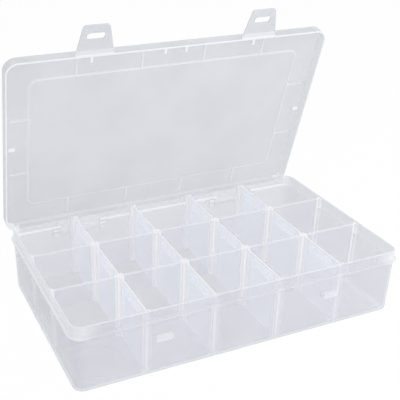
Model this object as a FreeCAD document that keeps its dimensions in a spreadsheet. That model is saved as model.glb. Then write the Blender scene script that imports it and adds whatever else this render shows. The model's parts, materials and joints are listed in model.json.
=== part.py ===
"""Bead storage box: a clear tray with a hinged lid, two snap latches and lift-out dividers.

Frame: +Z up, +X to the right, the front faces -Y, the origin is the middle of the tray's flat foot.
The lid and the latches are drawn closed about their hinge axes and then placed at the lid's open angle.
"""
import FreeCAD
import Part
import Sketcher
import math
import os
import re

COLUMN_COUNT = 5
ROW_COUNT = 3

# Driving dimensions in millimetres and degrees.
SIZES = {
    # Lid panel and skirt
    "lid_length": 275.0,
    "lid_width": 163.0,
    "lid_corner": 10.0,
    "lid_thickness": 1.3,
    "lid_edge_round": 0.9,
    "skirt_thickness": 1.2,
    "skirt_clearance": 0.7,
    "skirt_seat_gap": 0.3,
    "skirt_round": 0.4,
    "lid_gap": 0.5,
    # Tray shell
    "rim_height": 55.2,
    "rim_round": 0.45,
    "ledge_height": 47.2,
    "ledge_thickness": 1.8,
    "ledge_round": 0.7,
    "wall_thickness": 1.4,
    "floor_thickness": 1.5,
    "foot_inset": 0.6,
    "foot_round": 2.2,
    "floor_round": 2.0,
    # Dividers and their slots
    "divider_thickness": 1.5,
    "divider_drop": 0.8,
    "divider_end_gap": 0.4,
    "divider_floor_gap": 0.2,
    "divider_edge_round": 0.4,
    "slot_clearance": 0.3,
    "slot_rib_width": 1.9,
    "slot_rib_depth": 2.2,
    "slot_rib_bevel": 0.8,
    "grip_length": 28.0,
    "grip_height": 8.0,
    "grip_drop": 2.0,
    "grip_rise": 0.3,
    # Latches, their lands and catches
    "latch_offset": 70.0,
    "latch_base": 30.5,
    "latch_tip": 20.5,
    "latch_length": 23.5,
    "latch_thickness": 1.6,
    "latch_corner": 3.0,
    "latch_edge_round": 0.4,
    "latch_gap": 0.3,
    "land_length": 1.6,
    "latch_slot_length": 14.6,
    "latch_slot_height": 5.2,
    "latch_slot_place": 14.5,
    "latch_lip_length": 4.4,
    "latch_lip_margin": 0.9,
    "latch_lip_rise": 0.7,
    "catch_clearance": 0.35,
    "catch_round": 0.6,
    # Hinge ears on the tray, arms and pins on the lid
    "open_angle": 74.0,
    "hinge_offset": 75.0,
    "hinge_back": 2.3,
    "hinge_height": 39.5,
    "hinge_arm_width": 35.0,
    "hinge_side_gap": 0.5,
    "hinge_arm_rise": 3.5,
    "hinge_arm_swell": 1.6,
    "barrel_radius": 3.1,
    "pin_radius": 1.9,
    "pin_clearance": 0.08,
    "pin_reach": 5.0,
    "ear_width": 6.0,
    "ear_radius": 3.9,
    # Details inside the lid
    "panel_inset": 20.5,
    "panel_corner": 7.0,
    "panel_drop": 0.9,
    "panel_round": 0.4,
    "lid_rib_thickness": 1.6,
    "lid_rib_margin": 5.0,
    "tab_thickness": 1.8,
    "tab_length": 5.0,
    "tab_height": 3.0,
    "tab_gap": 0.6,
    "tab_offset": 9.0,
    # Moulded rings on the floor
    "ring_radius": 19.0,
    "ring_width": 1.2,
    "ring_rise": 0.3,
    "mark_radius": 3.6,
    # How far joined solids run into each other, and cuts run past a face
    "overrun": 0.5,
}

# Sizes that follow from the driving ones.
DERIVED = {
    "rim_length": "lid_length - 2 * (skirt_thickness + skirt_clearance)",
    "rim_width": "lid_width - 2 * (skirt_thickness + skirt_clearance)",
    "rim_corner": "lid_corner - skirt_thickness - skirt_clearance",
    "foot_length": "rim_length - 2 * foot_inset",
    "foot_width": "rim_width - 2 * foot_inset",
    "draft": "foot_inset / rim_height",
    "cavity_corner": "rim_corner - wall_thickness",
    "cavity_length": "rim_length - 2 * wall_thickness",
    "cavity_width": "rim_width - 2 * wall_thickness",
    "floor_length": "foot_length - 2 * wall_thickness + 2 * draft * floor_thickness",
    "floor_width": "foot_width - 2 * wall_thickness + 2 * draft * floor_thickness",
    "column_pitch": f"(cavity_length + divider_thickness) / {COLUMN_COUNT}",
    "row_pitch": f"(cavity_width + divider_thickness) / {ROW_COUNT}",
    "divider_foot": "floor_thickness + divider_floor_gap",
    "divider_top": "rim_height - divider_drop",
    "divider_chamfer": "floor_round + divider_end_gap",
    "slot_half": "divider_thickness / 2 + slot_clearance",
    "slot_outer": "slot_half + slot_rib_width",
    "lid_inner": "rim_height + lid_gap",
    "skirt_foot": "ledge_height + skirt_seat_gap",
    "hinge_y": "lid_width / 2 + hinge_back",
    "lid_middle": "-hinge_y",
    "lid_front": "-hinge_y - lid_width / 2",
    "fold_y": "lid_front - land_length",
    "fold_z": "skirt_foot - hinge_height",
    "catch_z": "skirt_foot - latch_slot_place",
    "notch_half": "hinge_arm_width / 2 + hinge_side_gap",
    "panel_length": "lid_length - 2 * panel_inset",
    "panel_width": "lid_width - 2 * panel_inset",
    "tab_margin": "skirt_thickness + skirt_clearance + wall_thickness + tab_gap",
}

doc = FreeCAD.newDocument("BeadStorageBox")
sheet = doc.addObject("Spreadsheet::Sheet", "Sizes")


def fill_sheet():
    """Writes each driving dimension to a cell with its name as the alias."""
    for row, (name, size) in enumerate(SIZES.items(), start=1):
        sheet.set(f"A{row}", name)
        sheet.set(f"B{row}", str(size))
        sheet.setAlias(f"B{row}", name)
    doc.recompute()


def expand(text):
    """Turns an expression in plain names into one that reads the sheet's cells."""
    def cell(match):
        name = match.group(0)
        if name in DERIVED:
            return f"({expand(DERIVED[name])})"
        return f"Sizes.{name}" if name in SIZES else name
    return re.sub(r"[A-Za-z_]\w*", cell, text)


def value(text):
    """The number that an expression has now."""
    return float(sheet.evalExpression(expand(text)))


def bind(target, **expressions):
    """Ties properties of an object to expressions; a double underscore stands for a dot."""
    for name, text in expressions.items():
        target.setExpression(name.replace("__", "."), expand(text))


def new_body(label):
    body = doc.addObject("PartDesign::Body", label.title().replace("_", ""))
    body.Label = label
    return body


def new_sketch(body, plane, offset="0"):
    """A sketch on one of the body's own origin planes, moved along the plane's normal."""
    sketch = body.newObject("Sketcher::SketchObject", f"{body.Name}Sketch")
    support = next(item for item in body.Origin.OriginFeatures if item.Role == plane)
    sketch.AttachmentSupport = (support, [""])
    sketch.MapMode = "FlatFace"
    bind(sketch, AttachmentOffset__Base__z=offset)
    return sketch


def constrain(sketch, plain, sized=()):
    """Adds plain constraints, then sized ones given as (kind, geometry and ends, expression)."""
    constraints = [Sketcher.Constraint(*parts) for parts in plain]
    constraints += [Sketcher.Constraint(kind, *ends, value(text)) for kind, ends, text in sized]
    numbers = sketch.addConstraint(constraints)
    for number, (kind, ends, text) in zip(numbers[len(plain):], sized):
        bind(sketch, **{f"Constraints[{number}]": text})


def at_point(geometry, end, x, y):
    """Sized constraints that hold one end of a line, or an arc's centre, at two expressions."""
    ends = (-1, 1, geometry, end)
    return [("DistanceX", ends, x), ("DistanceY", ends, y)]


def polygon(sketch, points):
    """A closed outline of straight lines through points given as pairs of expressions."""
    corners = [FreeCAD.Vector(value(x), value(y), 0) for x, y in points]
    first = sketch.GeometryCount
    sketch.addGeometry([Part.LineSegment(*ends) for ends in zip(corners, corners[1:] + corners[:1])])
    joints, places = [], []
    for step, (x, y) in enumerate(points):
        joints.append(("Coincident", first + (step - 1) % len(points), 2, first + step, 1))
        places += at_point(first + step, 1, x, y)
    constrain(sketch, joints, places)


def rectangle(sketch, left, front, right, back):
    polygon(sketch, [(left, front), (right, front), (right, back), (left, back)])


def join_arcs(sketch, arcs, radius):
    """Joins arcs, in order round an outline, by tangent lines, and sizes the first arc's radius."""
    joints = []
    for here, following in zip(arcs, arcs[1:] + arcs[:1]):
        line = sketch.addGeometry(Part.LineSegment(sketch.getPoint(here, 2), sketch.getPoint(following, 1)))
        joints += [("Tangent", here, 2, line, 1), ("Tangent", line, 2, following, 1)]
    constrain(sketch, joints, [("Radius", (arcs[0],), radius)])


def add_arc(sketch, x, y, radius, start, sweep):
    """An arc about a point given as two expressions, from a start angle through a sweep."""
    centre = FreeCAD.Vector(value(x), value(y), 0)
    circle = Part.Circle(centre, FreeCAD.Vector(0, 0, 1), value(radius))
    arc = sketch.addGeometry(Part.ArcOfCircle(circle, start, start + sweep))
    constrain(sketch, [], at_point(arc, 3, x, y))
    return arc


def rounded_outline(sketch, length, width, corner, middle="0"):
    """A rectangle about (0, middle) with four round corners."""
    quarter = math.pi / 2
    arcs = []
    for turn, (side_x, side_y) in enumerate(((1, 1), (-1, 1), (-1, -1), (1, -1))):
        middle_x = f"{side_x} * (({length}) / 2 - ({corner}))"
        middle_y = f"{middle} + {side_y} * (({width}) / 2 - ({corner}))"
        arcs.append(add_arc(sketch, middle_x, middle_y, corner, turn * quarter, quarter))
    join_arcs(sketch, arcs, corner)


def obround(sketch, length, height, x, y):
    """A slot shape along X about a point, with half-round ends."""
    run = f"(({length}) - ({height})) / 2"
    radius = f"({height}) / 2"
    right = add_arc(sketch, f"{x} + {run}", y, radius, -math.pi / 2, math.pi)
    left = add_arc(sketch, f"{x} - {run}", y, radius, math.pi / 2, math.pi)
    join_arcs(sketch, [right, left], radius)


def tongue(sketch, x, y, radius, root):
    """A half-round end about a point, with straight sides that run back to x = root."""
    arc = add_arc(sketch, x, y, radius, -math.pi / 2, math.pi)
    low, high = f"{y} - {radius}", f"{y} + {radius}"
    back = [FreeCAD.Vector(value(root), value(level), 0) for level in (high, low)]
    corners = [sketch.getPoint(arc, 2), *back, sketch.getPoint(arc, 1)]
    top, side, foot = sketch.addGeometry([Part.LineSegment(*ends) for ends in zip(corners, corners[1:])])
    constrain(sketch, [("Tangent", arc, 2, top, 1), ("Coincident", top, 2, side, 1),
                       ("Coincident", side, 2, foot, 1), ("Tangent", foot, 2, arc, 1)],
              at_point(side, 1, root, high) + at_point(side, 2, root, low) + [("Radius", (arc,), radius)])


def ring_outline(sketch, x, y, radius):
    """A circle whose centre and radius are expressions."""
    centre = FreeCAD.Vector(value(x), value(y), 0)
    circle = sketch.addGeometry(Part.Circle(centre, FreeCAD.Vector(0, 0, 1), value(radius)))
    constrain(sketch, [], at_point(circle, 3, x, y) + [("Radius", (circle,), radius)])


def pad(body, sketch, length, symmetric=False, lean=None):
    """Pads a sketch along its normal; lean gives the sideways run per unit of height."""
    feature = body.newObject("PartDesign::Pad", f"{body.Name}Pad")
    feature.Profile = sketch
    feature.SideType = "Symmetric" if symmetric else "One side"
    if lean:
        feature.UseCustomVector = True
        feature.AlongSketchNormal = True
        feature.Direction = FreeCAD.Vector(value(lean[0]), value(lean[1]), 1)
        bind(feature, Direction__x=lean[0], Direction__y=lean[1])
    bind(feature, Length=length)
    doc.recompute()
    return feature


def pocket(body, sketch, length):
    """Cuts a sketch's area down from its plane and checks that something was cut."""
    before = body.Tip.Shape.Volume
    feature = body.newObject("PartDesign::Pocket", f"{body.Name}Pocket")
    feature.Profile = sketch
    bind(feature, Length=length)
    doc.recompute()
    if feature.Shape.Volume >= before:
        raise RuntimeError(f"{feature.Name} cut nothing")
    return feature


def frustum(body, kind, low, high, length, width, top_length, top_width):
    """A solid from one rectangle at low to another at high; kind is AdditiveWedge or SubtractiveWedge."""
    feature = body.newObject(f"PartDesign::{kind}", f"{body.Name}Frustum")
    feature.Placement.Rotation = FreeCAD.Rotation(FreeCAD.Vector(1, 0, 0), 90)
    bind(feature, Ymin=low, Ymax=high)
    bind(feature, Xmin=f"-({length}) / 2", Xmax=f"({length}) / 2",
         Zmin=f"-({width}) / 2", Zmax=f"({width}) / 2")
    bind(feature, X2min=f"-({top_length}) / 2", X2max=f"({top_length}) / 2",
         Z2min=f"-({top_width}) / 2", Z2max=f"({top_width}) / 2")
    doc.recompute()
    return feature


def block(body, kind, low, high):
    """A box between two corners given as expressions; kind is AdditiveBox or SubtractiveBox."""
    feature = body.newObject(f"PartDesign::{kind}", f"{body.Name}Block")
    bind(feature, Placement__Base__x=low[0], Placement__Base__y=low[1], Placement__Base__z=low[2])
    bind(feature, Length=f"({high[0]}) - ({low[0]})", Width=f"({high[1]}) - ({low[1]})",
         Height=f"({high[2]}) - ({low[2]})")
    doc.recompute()
    return feature


def bar(body, kind, radius, left, right, y, z):
    """A cylinder along X; kind is AdditiveCylinder or SubtractiveCylinder."""
    feature = body.newObject(f"PartDesign::{kind}", f"{body.Name}Bar")
    feature.Placement.Rotation = FreeCAD.Rotation(FreeCAD.Vector(0, 1, 0), 90)
    bind(feature, Placement__Base__x=left, Placement__Base__y=y, Placement__Base__z=z)
    bind(feature, Radius=radius, Height=f"({right}) - ({left})")
    doc.recompute()
    return feature


def fillet(body, radius, chosen):
    """Rounds those edges of the body so far for which chosen(edge) is true."""
    base = body.Tip
    names = [f"Edge{number}" for number, edge in enumerate(base.Shape.Edges, start=1) if chosen(edge)]
    if not names:
        raise RuntimeError(f"{body.Label} has no edge to round")
    feature = body.newObject("PartDesign::Fillet", f"{body.Name}Fillet")
    feature.Base = (base, names)
    bind(feature, Radius=radius)
    doc.recompute()
    return feature


def same(first, second):
    """Whether two lengths agree to within a small share of the overrun."""
    close_share = 0.01
    return abs(first - second) < close_share * value("overrun")


def flat_at(edge, height):
    return same(edge.BoundBox.ZMin, height) and same(edge.BoundBox.ZMax, height)


def upright(edge):
    """Whether a straight edge runs mostly up and down."""
    box = edge.BoundBox
    return box.ZLength > box.XLength + box.YLength + value("overrun")


def middle_of(edge):
    return edge.valueAt((edge.FirstParameter + edge.LastParameter) / 2)


def outline_reach(point, length, width, corner, middle="0"):
    """Distance of a point from the rectangle through an outline's four corner centres."""
    beyond_x = max(abs(point.x) - value(f"({length}) / 2 - ({corner})"), 0)
    beyond_y = max(abs(point.y - value(middle)) - value(f"({width}) / 2 - ({corner})"), 0)
    return math.hypot(beyond_x, beyond_y)


def column_lines():
    return [f"({step} - {COLUMN_COUNT} / 2) * column_pitch" for step in range(1, COLUMN_COUNT)]


def row_lines():
    return [f"({step} - {ROW_COUNT} / 2) * row_pitch" for step in range(1, ROW_COUNT)]


def tray_shell(body):
    """Floor and drafted walls: one frustum for the outside, one cut out of it, then the roundings."""
    frustum(body, "AdditiveWedge", "0", "rim_height", "foot_length", "foot_width", "rim_length", "rim_width")
    frustum(body, "SubtractiveWedge", "floor_thickness", "rim_height", "floor_length", "floor_width",
            "cavity_length", "cavity_width")
    fillet(body, "rim_corner", lambda edge: upright(edge) and same(edge.BoundBox.ZMin, 0))
    fillet(body, "cavity_corner",
           lambda edge: upright(edge) and same(edge.BoundBox.ZMin, value("floor_thickness")))
    fillet(body, "foot_round", lambda edge: flat_at(edge, 0))
    fillet(body, "floor_round", lambda edge: flat_at(edge, value("floor_thickness")))
    fillet(body, "rim_round", lambda edge: flat_at(edge, value("rim_height")))


def tray_ledge(body):
    """The ledge that the lid's skirt sits over, notched at the back for the hinge arms."""
    sketch = new_sketch(body, "XY_Plane", "ledge_height - ledge_thickness")
    rounded_outline(sketch, "lid_length", "lid_width", "lid_corner")
    inner_length, inner_width = "rim_length - wall_thickness", "rim_width - wall_thickness"
    rounded_outline(sketch, inner_length, inner_width, "rim_corner - wall_thickness / 2")
    pad(body, sketch, "ledge_thickness")
    levels = (value("ledge_height"), value("ledge_height - ledge_thickness"))

    def rim_of_ledge(edge):
        reach = outline_reach(middle_of(edge), "lid_length", "lid_width", "lid_corner")
        return any(flat_at(edge, level) for level in levels) and same(reach, value("lid_corner"))
    fillet(body, "ledge_round", rim_of_ledge)
    sketch = new_sketch(body, "XY_Plane", "ledge_height + overrun")
    for side in (-1, 1):
        rectangle(sketch, f"{side} * hinge_offset - notch_half", "rim_width / 2",
                  f"{side} * hinge_offset + notch_half", "lid_width / 2 + overrun")
    pocket(body, sketch, "ledge_thickness + 2 * overrun")


def rib_places(line):
    """For both ribs beside a line: the slot side, where the bevel starts, and the outer side."""
    return [(f"{line} + {turn} * slot_half", f"{line} + {turn} * (slot_outer - slot_rib_bevel)",
             f"{line} + {turn} * slot_outer") for turn in (-1, 1)]


def wall_ribs(sketch, lines, side, wall, across):
    """A rib pair at each line on the wall at a side; across says how to order a point's coordinates."""
    root = f"{side} * ({wall} + wall_thickness / 2)"
    tip = f"{side} * ({wall} - slot_rib_depth)"
    bevel = f"{side} * ({wall} - slot_rib_depth + slot_rib_bevel)"
    for line in lines:
        for slot, corner, outer in rib_places(line):
            points = [(slot, root), (slot, tip), (corner, tip), (outer, bevel), (outer, root)]
            polygon(sketch, [across(*point) for point in points])


def tray_slots(body):
    """Rib pairs on the four walls; each pair leans with its wall and holds a divider's end."""
    height = "divider_top - floor_thickness + overrun"
    foot = "floor_thickness - overrun"
    for side in (-1, 1):
        sketch = new_sketch(body, "XY_Plane", foot)
        wall_ribs(sketch, column_lines(), side, "floor_width / 2 - draft * overrun", lambda x, y: (x, y))
        pad(body, sketch, height, lean=("0", f"{side} * draft"))
        sketch = new_sketch(body, "XY_Plane", foot)
        wall_ribs(sketch, row_lines(), side, "floor_length / 2 - draft * overrun", lambda y, x: (x, y))
        pad(body, sketch, height, lean=(f"{side} * draft", "0"))


def tray_catches(body):
    """The two bars on the front wall that the latches' slots snap over."""
    root = "(rim_width - wall_thickness - foot_inset) / 2"
    reach = "lid_width / 2 + land_length + latch_thickness"
    sketch = new_sketch(body, "XZ_Plane", root)
    for side in (-1, 1):
        obround(sketch, "latch_slot_length - 2 * catch_clearance", "latch_slot_height - 2 * catch_clearance",
                f"{side} * latch_offset", "catch_z")
    pad(body, sketch, f"{reach} - {root}")
    fillet(body, "catch_round", lambda edge: same(edge.BoundBox.YMax, -value(reach)))


def tray_ears(body):
    """Two pairs of ears on the back wall with holes for the lid's hinge pins."""
    root = "(rim_width - wall_thickness) / 2 - draft * (rim_height - hinge_height)"
    for side in (-1, 1):
        for end in (-1, 1):
            middle = f"{side} * hinge_offset + {end} * (notch_half + ear_width / 2)"
            sketch = new_sketch(body, "YZ_Plane", middle)
            tongue(sketch, "hinge_y", "hinge_height", "ear_radius", root)
            ring_outline(sketch, "hinge_y", "hinge_height", "pin_radius + pin_clearance")
            pad(body, sketch, "ear_width", symmetric=True)


def tray_marks(body):
    """A large and a small moulded ring on the floor of the two front corner compartments."""
    corner_x = f"({COLUMN_COUNT} / 2 - 1 / 2) * column_pitch"
    corner_y = f"-({ROW_COUNT} / 2 - 1 / 2) * row_pitch"
    sketch = new_sketch(body, "XY_Plane", "floor_thickness - overrun")
    for x, radius in ((f"-{corner_x}", "ring_radius"), (corner_x, "mark_radius")):
        ring_outline(sketch, x, corner_y, radius)
        ring_outline(sketch, x, corner_y, f"{radius} - ring_width")
    pad(body, sketch, "ring_rise + overrun")


def build_tray():
    body = new_body("tray")
    tray_shell(body)
    tray_ledge(body)
    tray_catches(body)
    tray_ears(body)
    tray_marks(body)
    tray_slots(body)
    return body


def lid_panel(body):
    """Flat panel with its skirt, and a centre that is sunk towards the dividers."""
    level = "lid_inner - hinge_height"
    sketch = new_sketch(body, "XY_Plane", level)
    rounded_outline(sketch, "lid_length", "lid_width", "lid_corner", "lid_middle")
    pad(body, sketch, "lid_thickness")
    sketch = new_sketch(body, "XY_Plane", "fold_z")
    rounded_outline(sketch, "lid_length", "lid_width", "lid_corner", "lid_middle")
    rounded_outline(sketch, "lid_length - 2 * skirt_thickness", "lid_width - 2 * skirt_thickness",
                    "lid_corner - skirt_thickness", "lid_middle")
    pad(body, sketch, f"{level} - fold_z")

    def outer_top(edge):
        reach = outline_reach(middle_of(edge), "lid_length", "lid_width", "lid_corner", "lid_middle")
        return flat_at(edge, value(f"{level} + lid_thickness")) and same(reach, value("lid_corner"))
    fillet(body, "lid_edge_round", outer_top)
    fillet(body, "skirt_round", lambda edge: flat_at(edge, value("fold_z")))
    sketch = new_sketch(body, "XY_Plane", f"{level} - panel_drop")
    rounded_outline(sketch, "panel_length", "panel_width", "panel_corner", "lid_middle")
    pad(body, sketch, "panel_drop")
    fillet(body, "panel_round", lambda edge: flat_at(edge, value(f"{level} - panel_drop")))
    sketch = new_sketch(body, "XY_Plane", f"{level} + lid_thickness")
    rounded_outline(sketch, "panel_length - 2 * lid_thickness", "panel_width - 2 * lid_thickness",
                    "panel_corner - lid_thickness", "lid_middle")
    pocket(body, sketch, "panel_drop")


def lid_ribs(body):
    """Sealing ribs that carry the sunk panel's level out to the rim along each divider."""
    sketch = new_sketch(body, "XY_Plane", "lid_inner - hinge_height - panel_drop")
    half = "lid_rib_thickness / 2"
    for side in (-1, 1):
        inner = f"lid_middle + {side} * (panel_width / 2 - overrun)"
        outer = f"lid_middle + {side} * (lid_width / 2 - lid_rib_margin)"
        for line in column_lines():
            rectangle(sketch, f"{line} - {half}", inner, f"{line} + {half}", outer)
        inner = f"{side} * (panel_length / 2 - overrun)"
        outer = f"{side} * (lid_length / 2 - lid_rib_margin)"
        for line in row_lines():
            rectangle(sketch, inner, f"lid_middle + {line} - {half}", outer, f"lid_middle + {line} + {half}")
    pad(body, sketch, "panel_drop")


def lid_tabs(body):
    """Small upright tabs just inside the tray's rim that keep the lid in place."""
    sketch = new_sketch(body, "XY_Plane", "lid_inner - hinge_height - tab_height")
    half = "tab_thickness / 2"
    front = "lid_front + tab_margin"
    for place in ("-latch_offset", "-tab_offset", "tab_offset", "latch_offset"):
        rectangle(sketch, f"{place} - {half}", front, f"{place} + {half}", f"{front} + tab_length")
    for side in (-1, 1):
        outer = f"{side} * (lid_length / 2 - tab_margin)"
        inner = f"{outer} - {side} * tab_length"
        rectangle(sketch, outer, f"lid_middle - {half}", inner, f"lid_middle + {half}")
    pad(body, sketch, "tab_height")


def lid_lands(body):
    """Short lands along the skirt's front edge, one behind each latch's film hinge."""
    for side in (-1, 1):
        block(body, "AdditiveBox",
              (f"{side} * latch_offset - latch_base / 2", "fold_y + latch_gap / 2", "fold_z"),
              (f"{side} * latch_offset + latch_base / 2", "lid_front + skirt_thickness / 2",
               "fold_z + latch_thickness"))


def lid_arms(body):
    """Arms that drop from the back of the skirt to the hinge axis, with pin stubs at both ends."""
    skirt_back = "-hinge_back"
    for side in (-1, 1):
        middle = f"{side} * hinge_offset"
        sketch = new_sketch(body, "YZ_Plane", middle)
        polygon(sketch, [("-barrel_radius", "0"), ("barrel_radius", "0"),
                         (f"{skirt_back} + hinge_arm_swell", "fold_z"),
                         (skirt_back, "fold_z + hinge_arm_rise"),
                         ("-barrel_radius", "fold_z + hinge_arm_rise")])
        pad(body, sketch, "hinge_arm_width", symmetric=True)
        half = "hinge_arm_width / 2"
        bar(body, "AdditiveCylinder", "barrel_radius", f"{middle} - {half}", f"{middle} + {half}", "0", "0")
        half = "hinge_arm_width / 2 + hinge_side_gap + pin_reach"
        bar(body, "AdditiveCylinder", "pin_radius", f"{middle} - ({half})", f"{middle} + ({half})", "0", "0")


def build_lid():
    body = new_body("lid")
    lid_panel(body)
    lid_ribs(body)
    lid_tabs(body)
    lid_lands(body)
    lid_arms(body)
    body.Placement.Rotation = FreeCAD.Rotation(FreeCAD.Vector(1, 0, 0), -SIZES["open_angle"])
    bind(body, Placement__Rotation__Angle="-open_angle", Placement__Base__y="hinge_y",
         Placement__Base__z="hinge_height")
    return body


def build_latch(label, side):
    """A slotted plate on a film hinge; its local X axis is the fold, at the plate's inner face."""
    body = new_body(label)
    tip = "-latch_length"
    sketch = new_sketch(body, "XY_Plane")
    polygon(sketch, [("-latch_base / 2", "-latch_gap / 2"), ("-latch_tip / 2", tip),
                     ("latch_tip / 2", tip), ("latch_base / 2", "-latch_gap / 2")])
    pad(body, sketch, "latch_thickness")
    fillet(body, "latch_corner", upright_at_tip)
    fillet(body, "latch_edge_round", lambda edge: flat_at(edge, 0) or flat_at(edge, value("latch_thickness")))
    lip_half = "latch_tip / 2 - latch_corner / 2"
    block(body, "AdditiveBox", (f"-({lip_half})", f"{tip} + latch_lip_margin", "latch_thickness - overrun"),
          (lip_half, f"{tip} + latch_lip_margin + latch_lip_length", "latch_thickness + latch_lip_rise"))
    sketch = new_sketch(body, "XY_Plane", "latch_thickness")
    obround(sketch, "latch_slot_length", "latch_slot_height", "0", "-latch_slot_place")
    pocket(body, sketch, "latch_thickness + overrun")
    body.Placement.Rotation = FreeCAD.Rotation(FreeCAD.Vector(1, 0, 0), -SIZES["open_angle"])
    bind(body, Placement__Rotation__Angle="-open_angle", Placement__Base__x=f"{side} * latch_offset",
         Placement__Base__y="hinge_y + fold_y * cos(open_angle) + fold_z * sin(open_angle)",
         Placement__Base__z="hinge_height - fold_y * sin(open_angle) + fold_z * cos(open_angle)")
    return body


def upright_at_tip(edge):
    box = edge.BoundBox
    return same(box.ZLength, value("latch_thickness")) and same(box.YMin, value("-latch_length"))


def wall_reach(foot_size, height):
    """Distance from the middle to a wall's inner face at a height, less the divider's end gap."""
    return f"{foot_size} / 2 - wall_thickness + draft * ({height}) - divider_end_gap"


def along_top(edge):
    """Whether an edge runs the length of a divider's top."""
    return flat_at(edge, value("divider_top")) and edge.Length > value("2 * divider_thickness")


def build_long_divider(label, side):
    """A left-to-right divider with rib pairs on both faces at every column line."""
    body = new_body(label)
    foot, top = "divider_foot", "divider_top"
    shoulder = "divider_foot + divider_chamfer"
    reach_foot = f"{wall_reach('foot_length', foot)} - divider_chamfer"
    outline = [(f"-({reach_foot})", foot), (reach_foot, foot),
               (wall_reach("foot_length", shoulder), shoulder), (wall_reach("foot_length", top), top),
               (f"-({wall_reach('foot_length', top)})", top),
               (f"-({wall_reach('foot_length', shoulder)})", shoulder)]
    sketch = new_sketch(body, "XZ_Plane")
    polygon(sketch, outline)
    pad(body, sketch, "divider_thickness", symmetric=True)
    fillet(body, "divider_edge_round", along_top)
    depth = "(divider_thickness / 2 + slot_rib_depth)"
    sketch = new_sketch(body, "XY_Plane", foot)
    for line in column_lines():
        for slot, corner, outer in rib_places(line):
            polygon(sketch, [(slot, f"-{depth}"), (corner, f"-{depth}"), (outer, f"slot_rib_bevel - {depth}"),
                             (outer, f"{depth} - slot_rib_bevel"), (corner, depth), (slot, depth)])
    pad(body, sketch, f"{top} - ({foot})")
    bind(body, Placement__Base__y=f"{side} * row_pitch / 2")
    return body


def build_short_divider(label, line, row):
    """A front-to-back divider in a row (-1 front, 0 middle, 1 back) with a raised finger grip."""
    body = new_body(label)
    foot, top = "divider_foot", "divider_top"
    shoulder = "divider_foot + divider_chamfer"
    near = "row_pitch / 2 + divider_thickness / 2 + divider_end_gap"
    sketch = new_sketch(body, "YZ_Plane")
    if row == 0:
        half = "row_pitch / 2 - divider_thickness / 2 - divider_end_gap"
        rectangle(sketch, f"-({half})", foot, half, top)
        middle = "0"
    else:
        far = wall_reach("foot_width", top)
        polygon(sketch, [(f"{row} * ({near})", foot),
                         (f"{row} * ({wall_reach('foot_width', foot)} - divider_chamfer)", foot),
                         (f"{row} * ({wall_reach('foot_width', shoulder)})", shoulder),
                         (f"{row} * ({far})", top), (f"{row} * ({near})", top)])
        middle = f"{row} * ({near} + {far}) / 2"
    pad(body, sketch, "divider_thickness", symmetric=True)
    fillet(body, "divider_edge_round", along_top)
    sketch = new_sketch(body, "YZ_Plane")
    rectangle(sketch, f"{middle} - grip_length / 2", f"{top} - grip_drop - grip_height",
              f"{middle} + grip_length / 2", f"{top} - grip_drop")
    pad(body, sketch, "divider_thickness + 2 * grip_rise", symmetric=True)
    bind(body, Placement__Base__x=line)
    return body


def build_dividers():
    parts = [build_long_divider("front_long_divider", -1), build_long_divider("back_long_divider", 1)]
    for row, row_name in ((-1, "front"), (0, "middle"), (1, "back")):
        for number, line in enumerate(column_lines(), start=1):
            parts.append(build_short_divider(f"divider_{row_name}_{number}", line, row))
    return parts


def check_document(parts):
    """Stops on any failed object or any sub-part that isn't one valid solid."""
    doc.recompute()
    for item in doc.Objects:
        if "Invalid" in item.State or "Error" in item.State:
            raise RuntimeError(f"{item.Name} failed: {item.State}")
    for part in parts:
        shape = part.Shape
        if shape.isNull() or not shape.isValid() or len(shape.Solids) != 1:
            raise RuntimeError(f"{part.Label} is not one valid solid")


def main():
    fill_sheet()
    parts = [build_tray(), build_lid(), build_latch("left_latch", -1), build_latch("right_latch", 1)]
    parts += build_dividers()
    check_document(parts)
    os.makedirs("parts", exist_ok=True)
    for part in parts:
        part.Shape.exportStep(os.path.join("parts", f"{part.Label}.step"))
        box = part.Shape.BoundBox
        print(f"{part.Label}: {box.XLength:.1f} x {box.YLength:.1f} x {box.ZLength:.1f} mm, "
              f"{part.Shape.Volume / 1000:.1f} cm3")


main()
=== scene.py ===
"""Dresses the bead storage box: milky clear plastic, knurled finger grips, film hinges and a white studio."""
import json
import math

import bpy
from bpy.props import FloatProperty, FloatVectorProperty, IntProperty, PointerProperty, StringProperty
from mathutils import Matrix, Vector


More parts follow.
